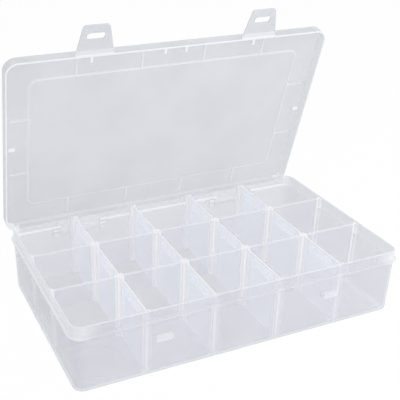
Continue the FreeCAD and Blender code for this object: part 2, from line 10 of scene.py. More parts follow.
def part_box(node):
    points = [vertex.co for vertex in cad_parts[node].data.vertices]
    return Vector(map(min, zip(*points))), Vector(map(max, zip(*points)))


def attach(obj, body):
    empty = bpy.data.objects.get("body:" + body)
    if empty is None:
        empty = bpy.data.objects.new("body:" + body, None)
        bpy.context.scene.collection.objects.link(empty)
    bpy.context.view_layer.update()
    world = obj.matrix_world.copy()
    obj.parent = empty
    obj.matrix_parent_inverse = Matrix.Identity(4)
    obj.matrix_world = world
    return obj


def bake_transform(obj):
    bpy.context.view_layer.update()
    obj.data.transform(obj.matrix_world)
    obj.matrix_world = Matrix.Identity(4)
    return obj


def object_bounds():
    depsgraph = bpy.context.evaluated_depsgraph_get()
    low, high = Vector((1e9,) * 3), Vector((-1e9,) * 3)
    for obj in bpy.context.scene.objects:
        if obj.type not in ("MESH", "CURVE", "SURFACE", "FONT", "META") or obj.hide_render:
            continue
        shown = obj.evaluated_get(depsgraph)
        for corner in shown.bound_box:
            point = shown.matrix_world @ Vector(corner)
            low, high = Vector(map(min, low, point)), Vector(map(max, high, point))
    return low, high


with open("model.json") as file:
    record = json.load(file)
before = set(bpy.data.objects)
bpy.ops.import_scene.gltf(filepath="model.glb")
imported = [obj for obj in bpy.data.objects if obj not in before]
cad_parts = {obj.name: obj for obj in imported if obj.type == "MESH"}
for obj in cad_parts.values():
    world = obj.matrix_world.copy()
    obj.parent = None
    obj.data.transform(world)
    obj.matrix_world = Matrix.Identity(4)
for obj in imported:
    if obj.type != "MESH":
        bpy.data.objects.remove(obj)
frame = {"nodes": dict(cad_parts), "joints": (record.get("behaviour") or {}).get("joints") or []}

bl_info = {
    "name": "Bead Storage Box",
    "version": (1, 0, 0),
    "blender": (4, 5, 0),
    "location": "View3D > Sidebar > Bead Box",
    "description": "Finishes and small details for a clear compartment box with lift-out dividers",
    "category": "Object",
}

CAD_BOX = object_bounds()
MM = 0.001
FAR = 10.0  # beyond everything, as the open end of a range
PHOTO_SIDE = 400
SENSOR_WIDTH = 36.0
RIGHT_ANGLE = math.pi / 2
WHITE = (1.0, 1.0, 1.0, 1.0)
FACTOR, FIRST, SECOND = 0, 6, 7  # sockets of a Mix node for colours
NO_FACE_YET = 0.5  # a ray that has passed no see-through face has a transparent depth below this
FACES_SEEN_THROUGH = 64
POLYPROPYLENE_IOR = 1.49
FLOW_DETAIL = 2.0
FLOW_ROUGHNESS = 0.45
FLOW_RANGE = (0.35, 0.65)  # noise levels of the clearest and the cloudiest flow marks
GRAIN_DETAIL = 1.0
GRAIN_STRENGTH = 0.08
GRAIN_HEIGHT = 0.02 * MM
GRAIN_GLOSS = (-0.05, 0.07)  # how far the grain takes the roughness down and up

JOINTS = {joint["name"]: joint for joint in frame["joints"]}
LID_AXIS = Vector(JOINTS["lid_hinge"]["pos_m"])
LID_OPEN = -math.radians(JOINTS["lid_hinge"]["range_deg"][0])
SHORT_DIVIDERS = sorted(name for name in frame["nodes"] if name.startswith("divider_"))
LONG_DIVIDERS = sorted(name for name in frame["nodes"] if name.endswith("long_divider"))
LATCHES = sorted(name for name in frame["nodes"] if name.endswith("latch"))
COLUMN_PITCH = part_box("divider_front_2")[0].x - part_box("divider_front_1")[0].x
ROW_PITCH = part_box("back_long_divider")[0].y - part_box("front_long_divider")[0].y
DIVIDER_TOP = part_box("divider_front_1")[1].z
WIDE_RING = (-2 * COLUMN_PITCH, -ROW_PITCH, 0.0)
SMALL_RING = (2 * COLUMN_PITCH, -ROW_PITCH, 0.0)


def fold_place(latch):
    """Middle of a latch's fold line."""
    return Vector(JOINTS[f"{latch}_fold"]["pos_m"])


# The fold line runs level with the skirt's free edge, seen from the hinge axis with the lid shut.
FREE_EDGE = (Matrix.Rotation(LID_OPEN, 3, "X") @ (fold_place(LATCHES[0]) - LID_AXIS)).z


def length(name, description, millimetres):
    """A length property, given in millimetres and kept in metres."""
    return FloatProperty(name=name, description=description, default=millimetres * MM, unit="LENGTH", precision=5)


def share(name, description, default):
    """A property from 0 to 1."""
    return FloatProperty(name=name, description=description, default=default, min=0.0, max=1.0, subtype="FACTOR")


def tint(name, description, hex_colour):
    """A colour property, as sRGB hex."""
    return StringProperty(name=name, description=f"{description}, sRGB hex", default=hex_colour)


def power(name, description, watts):
    """A lamp's power."""
    return FloatProperty(name=name, description=description, default=watts, subtype="POWER")


def spot(name, description, metres):
    """A place in the frame."""
    return FloatVectorProperty(name=name, description=description, default=metres, unit="LENGTH",
                               subtype="TRANSLATION")


def angle(name, description, degrees):
    """An angle property, given in degrees."""
    return FloatProperty(name=name, description=description, default=math.radians(degrees), subtype="ANGLE")


class PlasticFinish(bpy.types.PropertyGroup):
    """Colours and clearness of the moulded polypropylene."""
    tray: tint("Tray", "Colour of the tray's thin walls", "#C7C8D0")
    lid: tint("Lid", "Colour of the lid's panel", "#CECFD4")
    latch: tint("Latches", "Colour of the latches", "#CFD0D5")
    # Painted light: the short dividers get a brighter, bluer colour than the tray's same plastic, standing in for
    # the light from the left on their faces.
    divider: tint("Dividers", "Colour of the short dividers", "#F0F4FD")
    long_divider: tint("Long dividers", "Colour of the long dividers", "#CED0D8")
    haze: tint("Haze", "Colour of the cloudier flow marks", "#F2F3F6")
    # Also the colour of the painted highlight on top edges and end rims and the painted light on the skirt's ends.
    thick: tint("Thick places", "Colour of ribs, rims and edges", "#EDEEF1")
    haze_share: share("Haze share", "How far the flow marks go towards the haze colour", 0.14)
    tray_cover: share("Tray cover", "How much one face of a tray wall hides", 0.31)
    lid_cover: share("Lid cover", "How much one face of the lid hides", 0.55)
    divider_cover: share("Divider cover", "How much one face of a short divider hides", 0.44)
    long_divider_cover: share("Long divider cover", "How much one face of a long divider hides", 0.18)
    thick_cover: share("Thick cover", "How much a rib, rim or edge hides", 0.82)
    light_stop: share("Light stop", "How much of its cover the cloudy plastic keeps against light", 0.12)
    roughness: share("Roughness", "Gloss of the moulded faces", 0.34)
    flow: length("Flow marks", "Width of the cloudy flow marks", 45.0)
    # A mould's grain is finer than a picture of the whole box can show, so it is drawn this coarse.
    grain: length("Mould grain", "Width of the mould's fine grain", 1.2)


class Whitening(bpy.types.PropertyGroup):
    """How white each place looks, from 0, as a thin wall, to 1, as a solid edge: mostly thick plastic, with a
    painted highlight on the top edges and end rims and painted light on the skirt's ends.
    """
    side_ribs: share("Side ribs", "Slot ribs on the front and back walls", 0.8)
    side_walls: share("Side walls", "The front and back walls behind their ribs", 0.12)
    end_ribs: share("End ribs", "Slot ribs on the end walls", 0.45)
    # The rim's top edge: partly thick plastic seen edge-on, partly a painted highlight.
    rim: share("Rim", "The rim's top edge, but for the back", 0.6)
    # Partly the rim's thickness and partly a painted highlight along the rims at the two ends.
    end_rims_thick_and_highlight: share("End rims", "The rim above the ledge at the two ends", 0.75)
    ledge: share("Ledge", "The ledge all round", 0.2)
    back_ledge: share("Back ledge", "The ledge along the back, clear of the hinges", 0.85)
    floor_rings: share("Floor rings", "The two rings on the floor", 0.4)
    catches: share("Catches", "The catches on the front wall", 0.6)
    divider_ends: share("Divider ends", "The ends of a short divider", 0.75)
    # Partly thick plastic seen edge-on, partly a painted highlight from the light above.
    long_divider_top_thick_and_highlight: share("Long divider top", "The top edge of a long divider", 0.5)
    panel_step: share("Panel step", "The step round the lid's sunk centre", 0.55)
    lid_ribs: share("Lid ribs", "The ribs on the lid's border", 0.42)
    # Painted light: lifts the shade on the inside of the skirt at the lid's two ends.
    skirt_ends_painted_light: share("Skirt ends", "The inside of the skirt at the lid's two ends", 0.8)
    latch_root: share("Latch root", "The root of a latch, beside its fold", 0.5)
    grips: share("Grips", "The points on the finger grips", 0.3)


class BoxPlaces(bpy.types.PropertyGroup):
    """Where the mouldings are thick, with the part's own sizes."""
    post_half: length("Post", "From a divider line to the outside of the slot ribs beside it", 3.4)
    end_grip: length("Divider ends", "From a long divider's line to where a short divider's end is whitened", 8.0)
    side_ribs: length("Side ribs", "Innermost reach of the ribs on the front and back walls", 72.5)
    end_ribs: length("End ribs", "Innermost reach of the ribs on the end walls", 128.5)
    rib_depth: length("Rib depth", "How far out from there the ribs run, with the walls' lean", 5.6)
    rim: length("Rim", "Height of the tray's rim", 55.2)
    ledge: length("Ledge", "Underside of the tray's ledge", 45.3)
    ledge_thickness: length("Ledge thickness", "Thickness of the ledge", 2.0)
    # The end rims' whitening is partly a painted highlight; it fades in from end_fade to end_rim.
    end_rim: length("End rims", "From the middle to where the ends' rims are whitest", 133.0)
    end_fade: length("End fade", "From the middle to where that white has faded out", 112.0)
    hinge_offset: length("Hinges", "From the middle to the middle of a hinge", 75.0)
    hinge_half: length("Hinge notch", "Half the length of the notch in the ledge at a hinge", 18.0)
    # The whitened band along a top edge is partly a painted highlight.
    edge: length("Top edge", "How far a divider's whitened top edge runs down its faces", 1.2)
    wall_depth: length("Wall depth", "From the side ribs' innermost reach to outside the wall", 7.6)
    ring_foot: length("Rings", "Above the two moulded rings on the floor", 2.5)
    wide_ring: length("Wide ring", "Middle radius of the wide ring", 18.4)
    small_ring: length("Small ring", "Middle radius of the small ring", 3.0)
    ring_half: length("Ring width", "Half the width of a ring", 0.8)
    catch_face: length("Catches", "From the middle to behind the catches", 81.6)
    ears: length("Hinge ears", "From the middle to the hinge ears, clear of the ledge", 82.1)
    lid_width: length("Lid width", "Width of the lid, front to back", 163.0)
    lid_inside: length("Lid inside", "The lid's inner face above the hinge axis, shut", 16.2)
    lid_corner: length("Lid corner", "Corner radius inside the lid's skirt", 8.8)
    skirt: length("Skirt", "From the lid's outline to the skirt's inner face", 1.3)
    panel_inset: length("Panel inset", "From the lid's outline to the sunk centre", 20.5)
    panel_corner: length("Panel corner", "Corner radius of the sunk centre", 7.0)
    panel_drop: length("Panel drop", "Depth of the sunk centre and its ribs", 0.9)
    step_half: length("Panel step", "Half the width of the step round the sunk centre", 0.7)
    free_edge: length("Free edge", "How far a whitened edge of the skirt runs to either side", 0.6)
    tab_foot: length("Tab foot", "From the skirt's free edge to where the tabs are whitened", 1.5)
    margin: length("Margin", "How far a whitened place keeps off the face beside it", 0.3)


class GripSizes(bpy.types.PropertyGroup):
    """The raised points on the dividers' finger grips, coarser than the real knurl so that they show."""
    pitch: length("Pitch", "Distance between points along a row", 3.2)
    row: length("Row", "Distance between rows", 1.9)
    rise: length("Rise", "Height of a point", 0.45)
    drop: length("Drop", "From the divider's top edge to the grip's middle", 6.0)
    tip: share("Tip", "Width of a point's flat tip against its foot", 0.4)
    columns: IntProperty(name="Columns", description="Points along a row", default=8, min=1)
    row_pairs: IntProperty(name="Row pairs", description="Pairs of rows, set half a pitch apart", default=2, min=1)


class FilmHingeSizes(bpy.types.PropertyGroup):
    """The thin web that joins a latch to the lid."""
    reach: length("Reach", "How far the web runs on to the lid and the latch", 0.9)
    thickness: length("Thickness", "Thickness of the web", 0.3)
    inset: length("Inset", "How far the web stops short of the latch's sides", 1.2)
    gap: length("Gap", "Gap between the lid's land and the latch", 0.3)
    whitened: length("Whitened", "How far the latch's root is whitened by folding", 3.2)
    folds: IntProperty(name="Folds", description="Strips across the bend", default=8, min=2)


class StudioSettings(bpy.types.PropertyGroup):
    """Floor, light and the photograph's camera."""
    floor: tint("Floor", "Colour of the floor", "#ECEDF0")
    floor_side: length("Floor side", "Side of the floor", 6000.0)
    floor_white: share("Floor white", "Share of plain white in the floor where it is seen", 0.95)
    sky_light: FloatProperty(name="Sky light", description="Strength of the even light all round", default=0.81)
    overhead_power: power("Overhead light", "Power of the softbox overhead", 1.1)
    overhead_place: spot("Overhead place", "Where the softbox overhead hangs", (-0.1, -0.15, 1.3))
    overhead_side: length("Overhead side", "Side of the softbox overhead", 1400.0)
    front_power: power("Front light", "Power of the softbox at the front right", 7.1)
    front_place: spot("Front place", "Where the softbox at the front right stands", (0.66, -0.92, 0.68))
    front_side: length("Front side", "Side of the softbox at the front right", 1000.0)
    left_power: power("Left light", "Power of the softbox at the left", 4.5)
    left_place: spot("Left place", "Where the softbox at the left stands", (-2.2, -0.3, 0.9))
    left_side: length("Left side", "Side of the softbox at the left", 1400.0)
    camera_place: spot("Camera", "Where the camera stands", (-0.2577, -0.4805, 0.3541))
    azimuth: angle("Azimuth", "Turn of the view to the right of straight ahead", 24.31)
    elevation: angle("Elevation", "How far the view looks down", 26.66)
    roll: angle("Roll", "Tilt of the picture", 0.64)
    focal_px: FloatProperty(name="Focal length", description="In pixels of the square picture", default=767.0)
    middle_px: FloatVectorProperty(name="Optical middle", description="Where the lens axis meets the picture",
                                   size=2, default=(155.0, 208.9))


class BeadBoxSettings(bpy.types.PropertyGroup):
    """All settings of the bead storage box."""
    plastic: PointerProperty(type=PlasticFinish)
    places: PointerProperty(type=BoxPlaces)
    whitening: PointerProperty(type=Whitening)
    grips: PointerProperty(type=GripSizes)
    film_hinges: PointerProperty(type=FilmHingeSizes)
    studio: PointerProperty(type=StudioSettings)


def linear(hex_colour):
    """An sRGB hex colour as linear red, green, blue and alpha."""
    channels = [int(hex_colour[place:place + 2], 16) / 255 for place in (1, 3, 5)]
    return [c / 12.92 if c <= 0.04045 else ((c + 0.055) / 1.055) ** 2.4 for c in channels] + [1.0]


def add_node(tree, kind, inputs, **settings):
    """Adds a node, sets its properties, links or sets its inputs, and gives its first output."""
    node = tree.nodes.new(kind)
    for name, setting in settings.items():
        setattr(node, name, setting)
    for socket, source in inputs.items():
        if isinstance(source, bpy.types.NodeSocket):
            tree.links.new(source, node.inputs[socket])
        else:
            node.inputs[socket].default_value = source
    return next((output for output in node.outputs if output.enabled), None)


def within(tree, value, low, high):
    """1 where a value lies between two limits, else 0."""
    return add_node(tree, "ShaderNodeMath", {0: value, 1: (low + high) / 2, 2: (high - low) / 2},
                    operation="COMPARE")


def all_of(tree, first, *others):
    """Where every mask holds; a plain number among them weakens the rest."""
    for other in others:
        first = add_node(tree, "ShaderNodeMath", {0: first, 1: other}, operation="MULTIPLY")
    return first


def any_of(tree, first, *others):
    """Where at least one mask holds, as strong as the strongest."""
    for other in others:
        first = add_node(tree, "ShaderNodeMath", {0: first, 1: other}, operation="MAXIMUM")
    return first


def off_line(tree, value, pitch):
    """Distance from the nearest of the lines that lie at odd halves of a pitch, as the dividers do."""
    off_middle = add_node(tree, "ShaderNodeMath", {0: value, 1: pitch / 2}, operation="PINGPONG")
    return add_node(tree, "ShaderNodeMath", {0: pitch / 2, 1: off_middle}, operation="SUBTRACT")


def beyond_outline(tree, flat, half_length, half_width, corner):
    """Distance outside a rounded rectangle about the origin, negative within it."""
    mirrored = add_node(tree, "ShaderNodeVectorMath", {0: flat}, operation="ABSOLUTE")
    arm = add_node(tree, "ShaderNodeVectorMath",
                   {0: mirrored, 1: (half_length - corner, half_width - corner, 0.0)}, operation="SUBTRACT")
    arm = add_node(tree, "ShaderNodeVectorMath", {0: arm, 1: (0.0, 0.0, 0.0)}, operation="MAXIMUM")
    from_centre = add_node(tree, "ShaderNodeVectorMath", {0: arm}, operation="LENGTH").node.outputs["Value"]
    return add_node(tree, "ShaderNodeMath", {0: from_centre, 1: corner}, operation="SUBTRACT")


def as_shut(tree, place, pivot):
    """A place on the open lid, measured from a pivot as if the lid were shut."""
    return add_node(tree, "ShaderNodeMapping", {"Vector": place, "Location": pivot,
                                                "Rotation": (-LID_OPEN, 0.0, 0.0)}, vector_type="TEXTURE")


def above(tree, place, height):
    """Everything above a height."""
    z = add_node(tree, "ShaderNodeSeparateXYZ", {"Vector": place}).node.outputs["Z"]
    return within(tree, z, height, FAR)


def floor_ring(tree, place, places, centre, radius):
    """A moulded ring that stands on the tray's floor."""
    x, y, z = add_node(tree, "ShaderNodeSeparateXYZ", {"Vector": place}).node.outputs
    flat = add_node(tree, "ShaderNodeCombineXYZ", {"X": x, "Y": y})
    off_centre = add_node(tree, "ShaderNodeVectorMath", {0: flat, 1: centre}, operation="DISTANCE")
    return all_of(tree, within(tree, z, -FAR, places.ring_foot),
                  within(tree, off_centre, radius - places.ring_half, radius + places.ring_half))


def tray_thick_places(tree, place, settings):
    """Slot ribs on the walls, the rim, the ledge, the rings on the floor, the catches and the hinge ears; the
    rim's top edge and the rims at the two ends are partly a painted highlight.
    """
    places, white = settings.places, settings.whitening
    x, y, z = add_node(tree, "ShaderNodeSeparateXYZ", {"Vector": place}).node.outputs
    mirrored = add_node(tree, "ShaderNodeVectorMath", {0: place}, operation="ABSOLUTE")
    reach, depth, _ = add_node(tree, "ShaderNodeSeparateXYZ", {"Vector": mirrored}).node.outputs
    columns = all_of(tree, within(tree, off_line(tree, x, COLUMN_PITCH), -FAR, places.post_half),
                     within(tree, reach, -FAR, 2 * COLUMN_PITCH))
    side_ribs = all_of(tree, columns, within(tree, depth, places.side_ribs, places.side_ribs + places.rib_depth),
                       white.side_ribs)
    side_walls = all_of(tree, columns, within(tree, depth, places.side_ribs, places.side_ribs + places.wall_depth),
                        white.side_walls)
    rows = all_of(tree, within(tree, off_line(tree, y, ROW_PITCH), -FAR, places.post_half),
                  within(tree, depth, -FAR, ROW_PITCH))
    end_ribs = all_of(tree, rows, within(tree, reach, places.end_ribs, places.end_ribs + places.rib_depth),
                      white.end_ribs)
    before_back = within(tree, y, -FAR, places.side_ribs)
    # The rim's top edge: partly thick plastic, partly a painted highlight.
    rim = all_of(tree, above(tree, place, places.rim - places.edge / 2), before_back, white.rim)
    # Rims at the two ends: partly thick plastic, partly a painted highlight that grows towards the ends.
    ends = add_node(tree, "ShaderNodeMapRange", {"Value": reach, "From Min": places.end_fade,
                                                 "From Max": places.end_rim, "To Min": 0.0,
                                                 "To Max": white.end_rims_thick_and_highlight})
    off_back = any_of(tree, before_back, within(tree, reach, places.end_ribs, FAR))
    end_rims_thick_and_highlight = all_of(tree, above(tree, place, places.ledge), ends, off_back)
    ledge = within(tree, z, places.ledge, places.ledge + places.ledge_thickness)
    all_round = all_of(tree, ledge, white.ledge)
    off_hinge = off_line(tree, reach, 2 * places.hinge_offset)
    back_ledge = all_of(tree, ledge, within(tree, y, places.side_ribs, FAR),
                        within(tree, off_hinge, places.hinge_half, FAR), white.back_ledge)
    rings = all_of(tree, any_of(tree, floor_ring(tree, place, places, WIDE_RING, places.wide_ring),
                                floor_ring(tree, place, places, SMALL_RING, places.small_ring)),
                   white.floor_rings)
    catches = all_of(tree, within(tree, y, -FAR, -places.catch_face), white.catches)
    ears = within(tree, y, places.ears, FAR)
    return any_of(tree, side_ribs, side_walls, end_ribs, rim, end_rims_thick_and_highlight, all_round, back_ledge, rings, catches,
                  ears)


def divider_thick_places(tree, place, settings):
    """The top edge, whitened partly as thick plastic seen edge-on and partly as a painted highlight, and the ends
    that sit in the posts.
    """
    places = settings.places
    _, y, _ = add_node(tree, "ShaderNodeSeparateXYZ", {"Vector": place}).node.outputs
    ends = all_of(tree, within(tree, off_line(tree, y, ROW_PITCH), -FAR, places.end_grip),
                  settings.whitening.divider_ends)
    # The top edge: partly thick plastic seen edge-on, partly a painted highlight from the light above.
    return any_of(tree, above(tree, place, DIVIDER_TOP - places.edge), ends)


def long_divider_thick_places(tree, place, settings):
    """The top edge, whitened partly as thick plastic seen edge-on and partly as a painted highlight, and the posts
    where the short dividers slot in.
    """
    places = settings.places
    x, _, _ = add_node(tree, "ShaderNodeSeparateXYZ", {"Vector": place}).node.outputs
    posts = within(tree, off_line(tree, x, COLUMN_PITCH), -FAR, places.post_half)
    # The top edge: partly thick plastic seen edge-on, partly a painted highlight from the light above.
    top = all_of(tree, above(tree, place, DIVIDER_TOP - places.edge), settings.whitening.long_divider_top_thick_and_highlight)
    return any_of(tree, top, posts)


def lid_thick_places(tree, place, settings):
    """Ribs, tabs, the step round the sunk centre, the skirt's free edge and the hinge arms, and painted light on
    the inside of the skirt at the lid's two ends.
    """
    places, white = settings.places, settings.whitening
    shut = as_shut(tree, place, LID_AXIS)
    x, _, level = add_node(tree, "ShaderNodeSeparateXYZ", {"Vector": shut}).node.outputs
    reach = add_node(tree, "ShaderNodeMath", {0: x}, operation="ABSOLUTE")
    from_middle = add_node(tree, "ShaderNodeVectorMath", {0: shut, 1: (0.0, -LID_AXIS.y, 0.0)},
                           operation="SUBTRACT")
    flat = add_node(tree, "ShaderNodeVectorMath", {0: from_middle, 1: (1.0, 1.0, 0.0)}, operation="MULTIPLY")
    half_length = CAD_BOX[1].x
    half_width = places.lid_width / 2
    from_panel = beyond_outline(tree, flat, half_length - places.panel_inset, half_width - places.panel_inset,
                                places.panel_corner)
    from_skirt = beyond_outline(tree, flat, half_length - places.skirt, half_width - places.skirt,
                                places.lid_corner)
    margin, edge = places.margin, places.free_edge
    rib_foot = places.lid_inside - places.panel_drop - margin / 2
    border = all_of(tree, within(tree, from_skirt, -FAR, -margin), within(tree, from_panel, places.step_half, FAR))
    step = all_of(tree, within(tree, from_panel, -places.step_half, places.step_half),
                  within(tree, level, FREE_EDGE, places.lid_inside + margin), white.panel_step)
    tabs = all_of(tree, border, within(tree, level, FREE_EDGE + places.tab_foot, rib_foot))
    ribs = all_of(tree, border, within(tree, level, rib_foot, places.lid_inside - margin), white.lid_ribs)
    free_edge = within(tree, level, FREE_EDGE - edge, FREE_EDGE + edge)
    arms = within(tree, level, -FAR, FREE_EDGE - edge)
    # Painted light on the inside of the skirt at the lid's ends, lifting the shade that falls there.
    skirt_ends_painted_light = all_of(tree, within(tree, from_skirt, -edge, edge),
                        within(tree, level, FREE_EDGE, places.lid_inside - margin),
                        within(tree, reach, half_length - places.lid_corner, FAR), white.skirt_ends_painted_light)
    return any_of(tree, step, tabs, ribs, free_edge, arms, skirt_ends_painted_light)


def latch_thick_places(tree, place, settings):
    """The root that folding whitens."""
    across = add_node(tree, "ShaderNodeSeparateXYZ", {"Vector": as_shut(tree, place, fold_place(LATCHES[0]))})
    root = within(tree, across.node.outputs["Y"], -settings.film_hinges.whitened, FAR)
    return all_of(tree, root, settings.whitening.latch_root)


def grip_thick_places(tree, place, settings):
    """The points are equally thick all over."""
    return settings.whitening.grips


def new_material(name):
    """A material with an empty node tree."""
    material = bpy.data.materials.new(name)
    material.use_nodes = True
    material.node_tree.nodes.clear()
    return material


def polypropylene(name, body, cover, thick_places):
    """Injection-moulded polypropylene: milky and clear, so thin walls show what is behind them and thick
    ribs and edges look white, with painted highlight and painted light added where the masks hold them;
    faint flow marks and a fine mould grain break up its satin gloss. The cloud in it scatters light forwards,
    so it stops less light than its look suggests."""
    settings = bpy.context.scene.bead_box
    plastic = settings.plastic
    material = new_material(name)
    tree = material.node_tree
    place = add_node(tree, "ShaderNodeTexCoord", {}).node.outputs["Object"]
    thick = thick_places(tree, place, settings)
    flow = add_node(tree, "ShaderNodeTexNoise", {"Vector": place, "Scale": 1 / plastic.flow, "Detail": FLOW_DETAIL,
                                                 "Roughness": FLOW_ROUGHNESS})
    grain = add_node(tree, "ShaderNodeTexNoise", {"Vector": place, "Scale": 1 / plastic.grain,
                                                  "Detail": GRAIN_DETAIL})
    marks = add_node(tree, "ShaderNodeMapRange", {"Value": flow, "From Min": FLOW_RANGE[0],
                                                  "From Max": FLOW_RANGE[1], "To Min": 0.0,
                                                  "To Max": plastic.haze_share})
    cloud = add_node(tree, "ShaderNodeMix", {FACTOR: marks, FIRST: linear(body), SECOND: linear(plastic.haze)},
                     data_type="RGBA")
    # Where the masks hold painted highlight or painted light, this mix paints it in the thick colour.
    colour = add_node(tree, "ShaderNodeMix", {FACTOR: thick, FIRST: cloud, SECOND: linear(plastic.thick)},
                      data_type="RGBA")
    seen = add_node(tree, "ShaderNodeMapRange", {"Value": thick, "To Min": cover, "To Max": plastic.thick_cover})
    rays = add_node(tree, "ShaderNodeLightPath", {}).node.outputs
    lighting = any_of(tree, rays["Is Shadow Ray"], rays["Is Diffuse Ray"])
    kept = add_node(tree, "ShaderNodeMapRange", {"Value": lighting, "To Min": 1.0, "To Max": plastic.light_stop})
    alpha = add_node(tree, "ShaderNodeMath", {0: seen, 1: kept}, operation="MULTIPLY")
    gloss = add_node(tree, "ShaderNodeMapRange", {"Value": grain, "To Min": plastic.roughness + GRAIN_GLOSS[0],
                                                  "To Max": plastic.roughness + GRAIN_GLOSS[1]})
    bump = add_node(tree, "ShaderNodeBump", {"Height": grain, "Strength": GRAIN_STRENGTH,
                                             "Distance": GRAIN_HEIGHT})
    shader = add_node(tree, "ShaderNodeBsdfPrincipled", {"Base Color": colour, "Alpha": alpha, "Roughness": gloss,
                                                         "Normal": bump, "IOR": POLYPROPYLENE_IOR})
    add_node(tree, "ShaderNodeOutputMaterial", {"Surface": shader})
    return material


def finish_nodes(names, material):
    """Gives CAD nodes one finish."""
    for name in names:
        node = frame["nodes"][name]
        node.data.materials.clear()
        node.data.materials.append(material)


def select_only(piece):
    """Leaves one object selected and active, in object mode."""
    bpy.ops.object.select_all(action="DESELECT")
    piece.select_set(True)
    bpy.context.view_layer.objects.active = piece


def repeat(piece, count, step):
    """Repeats a piece's mesh along a step."""
    select_only(piece)
    modifier = piece.modifiers.new("Repeat", "ARRAY")
    modifier.count = count
    modifier.use_relative_offset = False
    modifier.use_constant_offset = True
    modifier.constant_offset_displace = step
    bpy.ops.object.modifier_apply(modifier=modifier.name)


class BEADBOX_OT_tray_finish(bpy.types.Operator):
    """Clear polypropylene on the tray"""
    bl_idname = "beadbox.tray_finish"
    bl_label = "Tray Finish"

    def execute(self, context):
        plastic = context.scene.bead_box.plastic
        finish_nodes(["tray"], polypropylene("tray_polypropylene", plastic.tray, plastic.tray_cover,
                                             tray_thick_places))
        return {"FINISHED"}


class BEADBOX_OT_lid_finish(bpy.types.Operator):
    """Clear polypropylene on the lid and its latches"""
    bl_idname = "beadbox.lid_finish"
    bl_label = "Lid Finish"

    def execute(self, context):
        plastic = context.scene.bead_box.plastic
        finish_nodes(["lid"], polypropylene("lid_polypropylene", plastic.lid, plastic.lid_cover, lid_thick_places))
        finish_nodes(LATCHES, polypropylene("latch_polypropylene", plastic.latch, plastic.lid_cover,
                                            latch_thick_places))
        return {"FINISHED"}


class BEADBOX_OT_divider_finish(bpy.types.Operator):
    """Clear polypropylene on the long and short dividers"""
    bl_idname = "beadbox.divider_finish"
    bl_label = "Divider Finish"

    def execute(self, context):
        plastic = context.scene.bead_box.plastic
        # The short dividers' colour is painted light, brighter and bluer than the tray's.
        finish_nodes(SHORT_DIVIDERS, polypropylene("divider_polypropylene", plastic.divider,
                                                   plastic.divider_cover, divider_thick_places))
        finish_nodes(LONG_DIVIDERS, polypropylene("long_divider_polypropylene", plastic.long_divider,
                                                  plastic.long_divider_cover, long_divider_thick_places))
        return {"FINISHED"}


class BEADBOX_OT_knurled_grips(bpy.types.Operator):
    """Staggered rows of small raised diamonds on both faces of every short divider"""
    bl_idname = "beadbox.knurled_grips"
    bl_label = "Knurled Grips"

    def point(self, grips):
        """One four-sided point that stands on the plane x = 0."""
        bpy.ops.object.select_all(action="DESELECT")
        bpy.ops.mesh.primitive_circle_add(vertices=4, radius=grips.pitch / 2, fill_type="NGON",
                                          rotation=(0.0, RIGHT_ANGLE, 0.0))
        piece = bpy.context.object
        bpy.ops.object.transform_apply(location=False, rotation=True, scale=False)
        bpy.ops.object.mode_set(mode="EDIT")
        bpy.ops.mesh.select_all(action="SELECT")
        bpy.ops.transform.resize(value=(1.0, 1.0, 2 * grips.row / grips.pitch))
        bpy.ops.mesh.extrude_region_move(TRANSFORM_OT_translate={"value": (grips.rise, 0.0, 0.0)})
        bpy.ops.transform.resize(value=(1.0, grips.tip, grips.tip))
        bpy.ops.mesh.select_all(action="SELECT")
        bpy.ops.mesh.normals_make_consistent(inside=False)
        bpy.ops.object.mode_set(mode="OBJECT")
        return piece

    def field(self, grips):
        """All points of both faces of one grip, about the origin and as thick as the divider's grip panel."""
        low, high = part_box(SHORT_DIVIDERS[0])
        piece = self.point(grips)
        repeat(piece, grips.columns, (0.0, grips.pitch, 0.0))
        repeat(piece, 2, (0.0, grips.pitch / 2, grips.row))
        repeat(piece, grips.row_pairs, (0.0, 0.0, 2 * grips.row))
        middle = Vector(((high.x - low.x) / 2, -grips.pitch * (grips.columns - 0.5) / 2,
                         -grips.row * (2 * grips.row_pairs - 1) / 2))
        piece.data.transform(Matrix.Translation(middle))
        other_face = piece.copy()
        other_face.data = piece.data.copy()
        other_face.data.transform(Matrix.Rotation(math.pi, 4, "Z"))
        bpy.context.scene.collection.objects.link(other_face)
        select_only(piece)
        other_face.select_set(True)
        bpy.ops.object.join()
        return piece

    def execute(self, context):
        settings = context.scene.bead_box
        pattern = self.field(settings.grips)
        # The grips share the short dividers' painted-light colour.
        pattern.data.materials.append(polypropylene("knurled_polypropylene", settings.plastic.divider,
                                                    settings.plastic.divider_cover, grip_thick_places))
        for name in SHORT_DIVIDERS:
            low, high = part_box(name)
            mesh = pattern.data.copy()
            mesh.transform(Matrix.Translation(((low.x + high.x) / 2, (low.y + high.y) / 2,
                                               high.z - settings.grips.drop)))
            grip = bpy.data.objects.new(name.replace("divider", "grip"), mesh)
            bpy.context.scene.collection.objects.link(grip)
            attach(grip, name)
        bpy.data.objects.remove(pattern)
        return {"FINISHED"}


